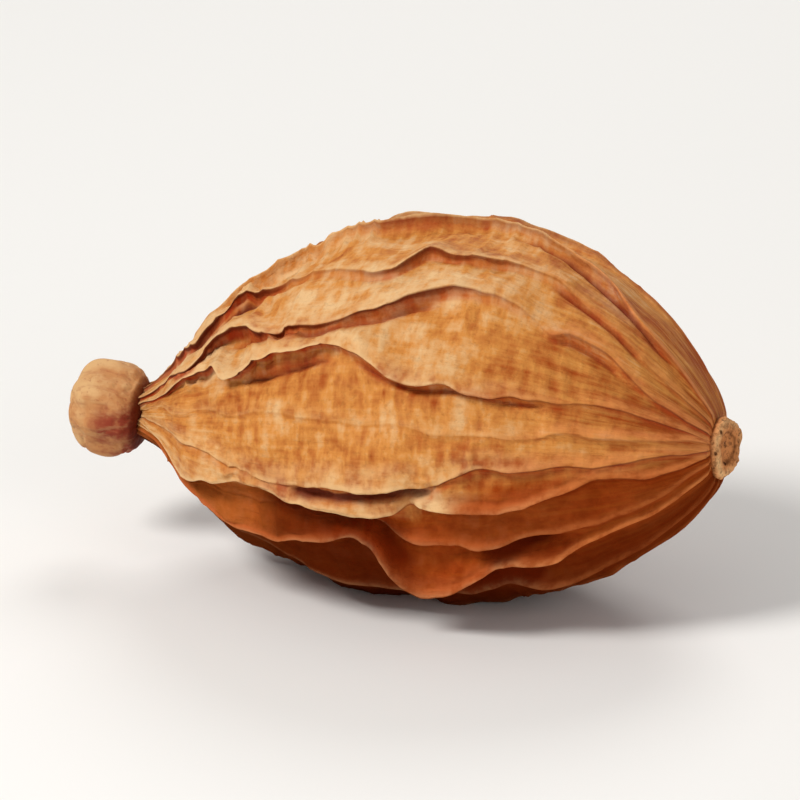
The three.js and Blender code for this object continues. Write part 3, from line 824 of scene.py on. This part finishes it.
class Nodes:
    """Short calls for building a node material."""

    def __init__(self, name):
        self.material = bpy.data.materials.new(name)
        self.material.use_nodes = True
        self.tree = self.material.node_tree
        self.surface = self.tree.nodes["Principled BSDF"]
        self.colour = None

    def add(self, kind, **values):
        node = self.tree.nodes.new(kind)
        for key, value in values.items():
            setattr(node, key, value)
        return node

    def link(self, source, target):
        self.tree.links.new(source, target)

    def feed(self, socket, value):
        if isinstance(value, bpy.types.NodeSocket):
            self.link(value, socket)
        elif socket.type == "RGBA":
            socket.default_value = (*value, 1)
        else:
            socket.default_value = value

    def attribute(self, name, output="Fac"):
        return self.add("ShaderNodeAttribute", attribute_name=name).outputs[output]

    def place(self):
        return self.add("ShaderNodeTexCoord").outputs["Object"]

    def scaled(self, vector, scale):
        node = self.add("ShaderNodeMapping")
        self.link(vector, node.inputs["Vector"])
        node.inputs["Scale"].default_value = scale
        return node.outputs["Vector"]

    def noise(self, vector, scale, detail=3.0, roughness=0.55):
        node = self.add("ShaderNodeTexNoise")
        self.link(vector, node.inputs["Vector"])
        node.inputs["Scale"].default_value = scale
        node.inputs["Detail"].default_value = detail
        node.inputs["Roughness"].default_value = roughness
        return node.outputs["Fac"]

    def spots(self, vector, scale):
        node = self.add("ShaderNodeTexVoronoi")
        self.link(vector, node.inputs["Vector"])
        node.inputs["Scale"].default_value = scale
        return node.outputs["Distance"]

    def math(self, operation, a, b=0.0, clamp=False):
        node = self.add("ShaderNodeMath", operation=operation, use_clamp=clamp)
        self.feed(node.inputs[0], a)
        self.feed(node.inputs[1], b)
        return node.outputs[0]

    def ramp(self, value, low, high, to_low=0.0, to_high=1.0):
        node = self.add("ShaderNodeMapRange", interpolation_type="SMOOTHSTEP")
        self.feed(node.inputs["Value"], value)
        node.inputs["From Min"].default_value = low
        node.inputs["From Max"].default_value = high
        node.inputs["To Min"].default_value = to_low
        node.inputs["To Max"].default_value = to_high
        return node.outputs["Result"]

    def blend(self, share, a, b, mode="MIX"):
        node = self.add("ShaderNodeMix", data_type="RGBA", blend_type=mode)
        self.feed(node.inputs[0], share)
        self.feed(node.inputs[6], a)
        self.feed(node.inputs[7], b)
        return node.outputs[2]

    def noises(self, vector, table):
        """One noise for each row of a table of (scale on each axis, detail, roughness)."""
        return [
            self.noise(self.scaled(vector, scale), 1.0, detail, roughness)
            for scale, detail, roughness in table.values()
        ]

    def times(self, a, b, clamp=False):
        return self.math("MULTIPLY", a, b, clamp)

    def plus(self, a, b):
        return self.math("ADD", a, b)

    def cover(self, share, colour):
        """Lays a share of another colour over the surface's colour so far."""
        self.colour = self.blend(share, self.colour, colour)

    def finish(self, roughness, gloss, bumps=()):
        """Sets the surface, with (height, millimetres) bumps, and gives the material."""
        self.feed(self.surface.inputs["Base Color"], self.colour)
        self.feed(self.surface.inputs["Roughness"], roughness)
        self.feed(self.surface.inputs["Specular IOR Level"], gloss)
        for height, depth in bumps:
            node = self.add("ShaderNodeBump")
            self.link(height, node.inputs["Height"])
            node.inputs["Distance"].default_value = depth * MM
            if self.surface.inputs["Normal"].is_linked:
                normal = self.surface.inputs["Normal"].links[0].from_socket
                self.link(normal, node.inputs["Normal"])
            self.link(node.outputs["Normal"], self.surface.inputs["Normal"])
        return self.material


# ------------------------------------------------------------------ materials

# Noise in the husk's grain: its waves for each millimetre, detail and roughness.
HUSK_NOISE = {
    "blots": ((0.42, 0.42, 0.3), 3.0, 0.5),
    "fibres": ((3.4, 3.4, 0.42), 3.0, 0.6),
    "puckers": ((0.7, 0.7, 2.6), 2.0, 0.5),
    "mottle": ((1.5, 1.5, 1.9), 3.0, 0.55),
    "grit": ((5, 5, 5), 3.0, 0.6),
    "scuffs": ((1.1, 1.1, 0.8), 4.0, 0.65),
}

# Stretches of the husk over which a look comes in or goes, as shares of its length.
STRETCH = {
    "scar_fibres": (0.6, 0.92), "collar_fibres": (0.12, 0.3), "rustier": (0.5, 0.95),
    "ridges": (0.6, 0.85), "tan_flank": (0.2, 0.42), "dark_flank": (0.62, 0.8),
    "lighter_deep": (0.6, 0.78), "worn_scar": (0.62, 0.78),
}

# The parts of a noise's range that a look follows: nearly all, most, or its upper part.
ALL, MOST, UPPER = (0.28, 0.72), (0.3, 0.7), (0.3, 0.6)

# How pale (1) or rusty (0) the husk is, and how far each cause moves it.
TONE = {
    "even": 0.44, "sunny": 0.17, "rustier": 0.18, "blots": 0.24, "puckers": 0.17, "mottle": 0.16,
    "fibres": 0.2,
}

# Noise on the knob and on the scar: its waves for each metre, detail and roughness.
KNOB_NOISE = {
    "blots": ((600, 600, 600), 4.0, 0.6),
    "streaks": ((500, 2600, 2600), 3.0, 0.6),
    "grit": ((4200, 4200, 4200), 2.0, 0.6),
}
SCAR_NOISE = {
    "blots": ((1700, 1700, 1700), 4.0, 0.65),
    "grit": ((6000, 6000, 6000), 3.0, 0.6),
}
CORK_PITS = 3400
FLOOR_CLOUDS = 12
FLOOR_WARMTH = 0.985


def husk_material(husk):
    """Tan to rust leather, paler where painted light falls, pale on lips and on worn edges that
    carry painted highlights, and dark red-brown in folds and on the flank with painted shade.
    """
    n = Nodes("dry_husk")
    grain = n.attribute("grain", "Vector")
    names = ("edge_wear_and_highlight", "lip", "rope", "core", "groove", "along", "under", "deep", "sunny", "waxy")
    edge_wear_and_highlight, lip, rope, core, groove, along, under, deep, sunny, waxy = map(n.attribute, names)
    blots, fibres, puckers, mottle, grit, scuffs = n.noises(grain, HUSK_NOISE)

    # fibres show most near the ends, puckers and mottling in the middle
    to_scar = n.ramp(along, *STRETCH["scar_fibres"])
    near_ends = n.math("MAXIMUM", to_scar, n.ramp(along, *STRETCH["collar_fibres"], 0.7, 0.0))
    middle = n.math("SUBTRACT", 1.0, near_ends)
    # painted light: the tone is paler where the light falls on top and on what faces up
    tone = n.plus(TONE["even"], n.times(sunny, TONE["sunny"]))
    tone = n.math("SUBTRACT", tone, n.ramp(along, *STRETCH["rustier"], 0.0, TONE["rustier"]))
    tone = n.plus(tone, n.ramp(blots, *MOST, TONE["blots"], -TONE["blots"]))
    across_husk = n.plus(
        n.ramp(puckers, *ALL, -TONE["puckers"], TONE["puckers"]),
        n.ramp(mottle, *ALL, -TONE["mottle"], TONE["mottle"]),
    )
    along_husk = n.ramp(fibres, *ALL, -TONE["fibres"], TONE["fibres"])
    tone = n.plus(tone, n.times(across_husk, n.ramp(middle, 0.0, 1.0, 0.45, 1.0)))
    tone = n.plus(tone, n.times(along_husk, n.ramp(middle, 0.0, 1.0, 0.9, 0.35)))
    n.colour = n.blend(n.times(tone, 2.0, True), husk.rust, husk.tan)
    n.cover(n.math("SUBTRACT", n.times(tone, 2.0), 1.0, True), husk.pale)
    n.cover(n.ramp(grit, 0.3, 0.5, 0.16, 0.0), husk.dark)
    lip_colour = n.blend(n.ramp(along, *STRETCH["ridges"]), husk.pale, husk.ridge)
    n.cover(n.times(lip, n.ramp(mottle, 0.3, 0.65, 0.1, 0.45)), lip_colour)

    # the flank towards the ground: a redder colour that is partly real and partly painted shade,
    # darker still towards the scar end, and its painted shadows
    shade = n.blend(n.ramp(mottle, *MOST, 0.35, 0.0), husk.shade, husk.dark)
    shade = n.blend(n.ramp(fibres, 0.4, 0.7, 0.0, 0.4), shade, husk.rust)
    shade = n.blend(n.ramp(along, *STRETCH["tan_flank"], 0.2, 0.0), shade, husk.tan)
    shade = n.blend(n.ramp(along, *STRETCH["dark_flank"], 0.0, 0.14), shade, husk.dark)
    # painted light: the ropes standing out of the shaded flank stay lighter
    shade = n.blend(n.times(rope, n.ramp(mottle, *UPPER, 0.6, 0.95)), shade, husk.rope)
    # painted shade on the flank towards the ground, over a redder colour
    n.cover(n.times(under, 0.92, True), shade)
    # painted shadow, in the dark colour, lighter towards the scar end
    n.cover(n.times(deep, n.ramp(along, *STRETCH["lighter_deep"], 0.8, 0.6), True), husk.dark)
    # the waxy patch near the scar, greyish with a painted sheen
    n.cover(n.times(waxy, n.ramp(scuffs, 0.42, 0.56, 0.1, 0.8)), husk.bloom_and_sheen)

    # painted shade in the grooves and cores behind the lips, then the worn edges of the lips,
    # partly wear and partly painted highlight, mostly kept off the shaded flank but not near the
    # scar end
    # painted shade: red-brown in the grooves, nearly dark on the flank
    recess_shade = n.blend(n.times(under, 0.7), husk.recess_shade, husk.dark)
    n.cover(n.times(groove, n.ramp(puckers, 0.35, 0.6, 1.0, 0.75), True), recess_shade)
    n.cover(n.times(core, 0.9, True), n.blend(0.85, husk.recess_shade, husk.dark))
    worn_and_lit = n.times(edge_wear_and_highlight, n.ramp(mottle, *UPPER, 0.2, 0.75), True)
    lit_end = n.ramp(along, *STRETCH["worn_scar"], 0.0, 0.7)
    lit_end = n.times(lit_end, n.ramp(deep, 0.0, 0.3, 1.0, 0.0))
    # the edge's painted highlight stays mostly off the shaded flank, except near the scar end
    kept = n.math("MAXIMUM", n.ramp(under, 0.0, 1.0, 1.0, 0.2), lit_end)
    n.cover(n.times(worn_and_lit, kept), lip_colour)
    roughness = n.ramp(fibres, *MOST, 0.74, 0.58)
    gloss = n.ramp(under, 0.0, 0.8, 0.14, 0.0)
    return n.finish(roughness, gloss, [(fibres, 0.06), (puckers, 0.08), (grit, 0.03)])


def knob_material(knob):
    """Straw to tan and streaked, with painted light and shade: paler towards the tip and on top,
    plum-brown below and towards the collar, and dark at its end inside the collar.
    """
    n = Nodes("dry_flower")
    toward = n.attribute("toward")
    low = n.attribute("low")
    blots, streaks, grit = n.noises(n.place(), KNOB_NOISE)
    tone = n.plus(n.plus(toward, low), n.ramp(blots, *MOST, -0.35, 0.35))
    n.colour = n.blend(n.ramp(tone, 0.35, 0.9), knob.straw, knob.tan)
    n.cover(n.ramp(tone, 0.92, 1.4, 0.0, 0.95), knob.plum)
    n.cover(n.ramp(streaks, 0.5, 0.68, 0.0, 0.3), knob.straw)
    n.cover(n.ramp(streaks, 0.34, 0.48, 0.25, 0.0), knob.plum)
    n.cover(n.ramp(grit, 0.58, 0.75, 0.0, 0.35), knob.plum)
    # painted shade: the end inside the collar is dark
    n.cover(n.ramp(toward, 0.86, 0.97, 0.0, 0.9), knob.dark)
    return n.finish(0.7, 0.15, [(blots, 0.08), (streaks, 0.06), (grit, 0.02)])


def scar_material(scar):
    """Dry cork with a pale rim and dark pits, darker in the groove of its face; painted shade
    darkens the underside of the plug and a painted highlight lightens the rim's front.
    """
    n = Nodes("dry_cork")
    place = n.place()
    pits = n.spots(place, CORK_PITS)
    blots, grit = n.noises(place, SCAR_NOISE)
    # painted highlight on the rim's front, through the rim mask
    on_rim = n.times(n.attribute("rim"), n.ramp(blots, 0.35, 0.6, 0.35, 1.0))
    n.colour = n.blend(on_rim, scar.cork, scar.rim)
    n.cover(n.ramp(grit, 0.35, 0.55, 0.45, 0.0), scar.pith)
    pitted = n.times(n.ramp(pits, 0.16, 0.36, 0.9, 0.0), n.ramp(blots, 0.4, 0.5, 1.0, 0.0))
    n.cover(pitted, scar.pith)
    # painted shade under the plug, and the darker groove in its face
    n.cover(n.times(n.attribute("hollow"), 0.75), scar.pith)
    return n.finish(0.8, 0.08, [(n.ramp(pits, 0.1, 0.4), 0.08), (blots, 0.06)])


def floor_material(stage):
    """Pale ground with faint clouds."""
    n = Nodes("pale_floor")
    warm = [FLOOR_WARMTH * c for c in stage.floor]
    n.colour = n.blend(n.noise(n.place(), FLOOR_CLOUDS, 2.0), stage.floor, warm)
    return n.finish(0.75, 0.5)


def settle(piece, material):
    """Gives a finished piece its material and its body."""
    smooth_faces(piece)
    piece.data.materials.clear()
    piece.data.materials.append(material)
    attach(piece, BODY)


# ------------------------------------------------------------------ pieces


class AMOMUM_OT_husk(bpy.types.Operator):
    """Shapes the ribbed, leathery husk from a sphere"""

    bl_idname = "amomum.husk"
    bl_label = "Husk"

    def execute(self, context):
        husk = context.scene.amomum_husk
        columns = COLUMNS_PER_RIB * len(RIBS)
        piece, ring, column = sphere_piece("husk", columns, HUSK_RINGS)
        points, masks = husk_surface(husk, ring, column)
        points = lay_down(husk, points)
        points[:, 2] = np.maximum(points[:, 2], 0)
        move_vertices(piece, points)
        store_masks(piece, masks)
        settle(piece, husk_material(husk))
        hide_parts("fruit")
        return {"FINISHED"}


# The knob in millimetres and degrees; its cap is the share of the rings at either end
# that closes the dished tip or runs into the neck.
KNOB_RINGS, KNOB_COLUMNS = 96, 128
KNOB = {
    "cap": 0.14, "seat": 0.3, "root": 1.1, "dish": 0.4, "opening": 78, "flatness": 0.5, "lift": 8,
    "dish_step": 1.3, "neck_step": 1.2,
}
KNOB_FOLDS = {"count": 7, "depth": 0.045, "oval": 0.03, "reach": 1.2}
KNOB_SHADE = {"turn": 0.25, "low": 0.6}

# The knob's wrinkles: each layer's noise seed and its waves for each millimetre along and
# across the knob, then their heights and the gap between the bands in millimetres.
KNOB_WAVES = [(31, 1.1, 1.1), (32, 1, 3), (33, 0.8, 1.9), (34, 0.9, 0.9)]
KNOB_WRINKLES = {
    "broad": 0.1, "fine": 0.05, "creases": 0.1, "sharpness": 6, "bands": 0.035,
    "band_gap": 0.38, "band_sway": 2, "band_start": (0.3125, 0.625), "thinnest": 0.8,
}


class AMOMUM_OT_flower_knob(bpy.types.Operator):
    """Shapes the wrinkled knob of the dried flower from a sphere"""

    bl_idname = "amomum.flower_knob"
    bl_label = "Flower knob"

    def execute(self, context):
        husk = context.scene.amomum_husk
        knob = context.scene.amomum_knob
        piece, ring, column = sphere_piece("flower_knob", KNOB_COLUMNS, KNOB_RINGS)
        v = ring / KNOB_RINGS
        angle = 2 * np.pi * column / KNOB_COLUMNS
        half = knob.length / MM / 2
        middle = KNOB["seat"] - half
        # from the dished tip (0) over the barrel to the neck (1)
        cap = KNOB["cap"]
        barrel = np.clip((v - cap) / (1 - 2 * cap), 0, 1)
        tip = np.clip((cap - v) / cap, 0, 1)
        neck = np.clip((v - (1 - cap)) / cap, 0, 1)
        sweep = np.radians(mix(-KNOB["opening"], KNOB["opening"], barrel))
        x = middle + half * np.sin(sweep) + KNOB["dish"] * smooth(tip * KNOB["dish_step"])
        x = mix(x, KNOB["root"], smooth(neck * KNOB["neck_step"]))
        r = knob.radius / MM * np.cos(sweep) ** KNOB["flatness"] * (1 - tip) * (1 - neck)
        folds = KNOB_FOLDS["depth"] * np.cos(KNOB_FOLDS["count"] * angle)
        folds += KNOB_FOLDS["oval"] * np.sin(2 * angle + 1)
        r = r * (1 + folds * smooth(-x / KNOB_FOLDS["reach"]))
        points = round_points(x, r, angle)
        broad, fine, sharp, sway = (
            Noise(seed)(points * np.array([along, across, across]))
            for seed, along, across in KNOB_WAVES
        )
        creases = (1 - np.abs(sharp)) ** KNOB_WRINKLES["sharpness"]
        band = 2 * np.pi * x / KNOB_WRINKLES["band_gap"] + KNOB_WRINKLES["band_sway"] * sway
        bands = np.sin(band) * rise((x - middle) / half, *KNOB_WRINKLES["band_start"])
        wrinkle = KNOB_WRINKLES["broad"] * broad + KNOB_WRINKLES["fine"] * fine
        wrinkle += KNOB_WRINKLES["bands"] * bands - KNOB_WRINKLES["creases"] * creases
        points[:, 1:] *= (1 + wrinkle / np.maximum(r, KNOB_WRINKLES["thinnest"]))[:, None]
        points = turned(points, math.radians(KNOB["lift"]), "Y")
        points = points + middle_line(husk, np.zeros(1))
        move_vertices(piece, lay_down(husk, points))
        # painted shade: toward runs from the tip to the collar and low darkens the underside
        masks = {
            "toward": np.clip((x - middle) / half, -1, 1) * 0.5 + 0.5,
            "low": KNOB_SHADE["low"] * smooth(0.5 - 0.5 * np.cos(angle + KNOB_SHADE["turn"])),
        }
        store_masks(piece, masks)
        settle(piece, knob_material(knob))
        return {"FINISHED"}


# The plug's outline from its underside over the round side and the rim to the dished
# face: share of the way, share of the thickness, millimetres added, share of the radius.
SCAR_RINGS, SCAR_COLUMNS = 72, 96
SCAR_OUTLINE = [
    (0, 0, -0.5, 0),
    (0.15, 0, -0.5, 0.8),
    (0.3, 0, 0.04, 0.97),
    (0.38, 0.5, 0, 1),
    (0.46, 0.88, 0, 0.95),
    (0.56, 1, 0, 0.8),
    (0.66, 1, 0, 0.62),
    (0.8, 1, -0.16, 0.4),
    (1, 1, -0.14, 0),
]
SCAR_ROUND = {"lobes": 0.04, "dents": 0.025}

# The rough cork: each layer's noise seed, waves for each millimetre and height in
# millimetres, the share of it that goes sideways, and where on the outline it starts.
SCAR_WAVES = [(41, 2.2, 0.05), (42, 6, 0.035)]
SCAR_ROUGH = {"sideways": 0.8, "start": (0.2, 0.2)}

# Where the rim, the underside, which is darkened with painted shade, and the groove in the face
# lie on the outline, and how strongly the rim shows on its lower side, away from the painted
# highlight on its front.
SCAR_LOOK = {
    "rim": (0.52, 0.1), "lower_rim": 0.45, "underside": (0.36, 0.08), "groove": (0.74, 0.03),
    "groove_share": 0.8,
}


class AMOMUM_OT_stalk_scar(bpy.types.Operator):
    """Shapes the corky plug of the stalk scar from a sphere"""

    bl_idname = "amomum.stalk_scar"
    bl_label = "Stalk scar"

    def execute(self, context):
        husk = context.scene.amomum_husk
        scar = context.scene.amomum_scar
        piece, ring, column = sphere_piece("stalk_scar", SCAR_COLUMNS, SCAR_RINGS)
        v = ring / SCAR_RINGS
        angle = 2 * np.pi * column / SCAR_COLUMNS
        wide = scar.radius / MM
        share, thickness, added, radii = np.array(SCAR_OUTLINE).T
        x = np.interp(v, share, thickness * scar.thickness / MM + added)
        r = np.interp(v, share, radii) * wide
        r *= 1 + SCAR_ROUND["lobes"] * np.sin(3 * angle) + SCAR_ROUND["dents"] * np.cos(5 * angle)
        points = round_points(x, r, angle)
        rough = sum(height * Noise(seed)(points * waves) for seed, waves, height in SCAR_WAVES)
        points[:, 0] += rough * rise(v, *SCAR_ROUGH["start"])
        points[:, 1:] *= (1 + SCAR_ROUGH["sideways"] * rough / wide)[:, None]
        points = turned(points, -scar.turn, "Z") + middle_line(husk, np.ones(1))
        move_vertices(piece, lay_down(husk, points))
        # painted highlight: the rim is lighter on its front side
        lit = mix(SCAR_LOOK["lower_rim"], 1, smooth(0.5 + 0.5 * np.sin(angle)))
        groove = SCAR_LOOK["groove_share"] * hill(v, *SCAR_LOOK["groove"])
        masks = {
            "rim": lit * hill(v, *SCAR_LOOK["rim"]),
            "hollow": np.maximum(fall(v, *SCAR_LOOK["underside"]), groove),
        }
        store_masks(piece, masks)
        settle(piece, scar_material(scar))
        return {"FINISHED"}


# ------------------------------------------------------------------ stage

# Lamps as (name, place in metres, width in metres, watts), and the rest of the stage.
LAMPS = [
    ("key", (-0.11, -0.15, 0.2), 0.09, 0.53),
    ("fill", (0.2, -0.16, 0.12), 0.16, 0.13),
    ("back", (-0.02, 0.19, 0.18), 0.13, 0.2),
]
LAMP_COLOUR = (1.0, 0.98, 0.96)
WORLD_STRENGTH = 0.34
FLOOR_SIZE = 3
CAMERA_DISTANCE = 0.3
SENSOR_WIDTH = 36


def area_light(name, place, aim, size, power):
    data = bpy.data.lights.new(name, "AREA")
    data.shape = "DISK"
    data.size = size
    data.energy = power
    data.color = LAMP_COLOUR
    lamp = bpy.data.objects.new(name, data)
    bpy.context.scene.collection.objects.link(lamp)
    lamp.location = place
    lamp.rotation_euler = (Vector(aim) - Vector(place)).to_track_quat("-Z", "Y").to_euler()


class AMOMUM_OT_stage(bpy.types.Operator):
    """Sets the pale floor, the soft light and the camera"""

    bl_idname = "amomum.stage"
    bl_label = "Stage"

    def execute(self, context):
        stage = context.scene.amomum_stage
        middle = (FRUIT_LOW + FRUIT_HIGH) / 2
        deselect_all()
        bpy.ops.mesh.primitive_plane_add(size=FLOOR_SIZE, location=(0, 0, 0))
        floor = context.object
        floor.name = "floor"
        floor.data.materials.append(floor_material(stage))

        for name, place, size, power in LAMPS:
            area_light(name, place, middle, size, power)
        world = bpy.data.worlds.new("studio")
        world.use_nodes = True
        background = world.node_tree.nodes["Background"]
        background.inputs["Color"].default_value = (1, 1, 1, 1)
        background.inputs["Strength"].default_value = WORLD_STRENGTH
        context.scene.world = world
        context.scene.view_settings.view_transform = "Standard"

        lens = bpy.data.cameras.new("camera")
        lens.sensor_width = SENSOR_WIDTH
        lens.lens = SENSOR_WIDTH * CAMERA_DISTANCE / stage.view_width
        lens.clip_start = 0.01
        camera = bpy.data.objects.new("camera", lens)
        context.scene.collection.objects.link(camera)
        back = Matrix.Rotation(stage.view_azimuth, 3, "Z") @ (
            Matrix.Rotation(-stage.view_height, 3, "X") @ Vector((0, -1, 0))
        )
        camera.location = middle + back * CAMERA_DISTANCE
        camera.rotation_euler = (-back).to_track_quat("-Z", "Y").to_euler()
        context.scene.camera = camera
        return {"FINISHED"}


class AMOMUM_PT_panel(bpy.types.Panel):
    """Lists the pieces and their settings"""

    bl_idname = "AMOMUM_PT_panel"
    bl_label = "Dried amomum fruit"
    bl_space_type = "VIEW_3D"
    bl_region_type = "UI"
    bl_category = "Amomum"

    def draw(self, context):
        groups = (
            ("amomum_husk", "amomum.husk"),
            ("amomum_knob", "amomum.flower_knob"),
            ("amomum_scar", "amomum.stalk_scar"),
            ("amomum_stage", "amomum.stage"),
        )
        for group, operator in groups:
            box = self.layout.box()
            settings = getattr(context.scene, group)
            for name in settings.bl_rna.properties.keys():
                if name not in ("rna_type", "name"):
                    box.prop(settings, name)
            box.operator(operator)


SETTINGS = {
    "amomum_husk": HuskSettings,
    "amomum_knob": KnobSettings,
    "amomum_scar": ScarSettings,
    "amomum_stage": StageSettings,
}
CLASSES = (
    *SETTINGS.values(),
    AMOMUM_OT_husk,
    AMOMUM_OT_flower_knob,
    AMOMUM_OT_stalk_scar,
    AMOMUM_OT_stage,
    AMOMUM_PT_panel,
)


def register():
    for item in CLASSES:
        bpy.utils.register_class(item)
    for name, group in SETTINGS.items():
        setattr(bpy.types.Scene, name, bpy.props.PointerProperty(type=group))


def unregister():
    for name in SETTINGS:
        delattr(bpy.types.Scene, name)
    for item in reversed(CLASSES):
        bpy.utils.unregister_class(item)


def main():
    register()
    bpy.ops.amomum.stage()
    bpy.ops.amomum.husk()
    bpy.ops.amomum.flower_knob()
    bpy.ops.amomum.stalk_scar()


if __name__ == "__main__":
    main()
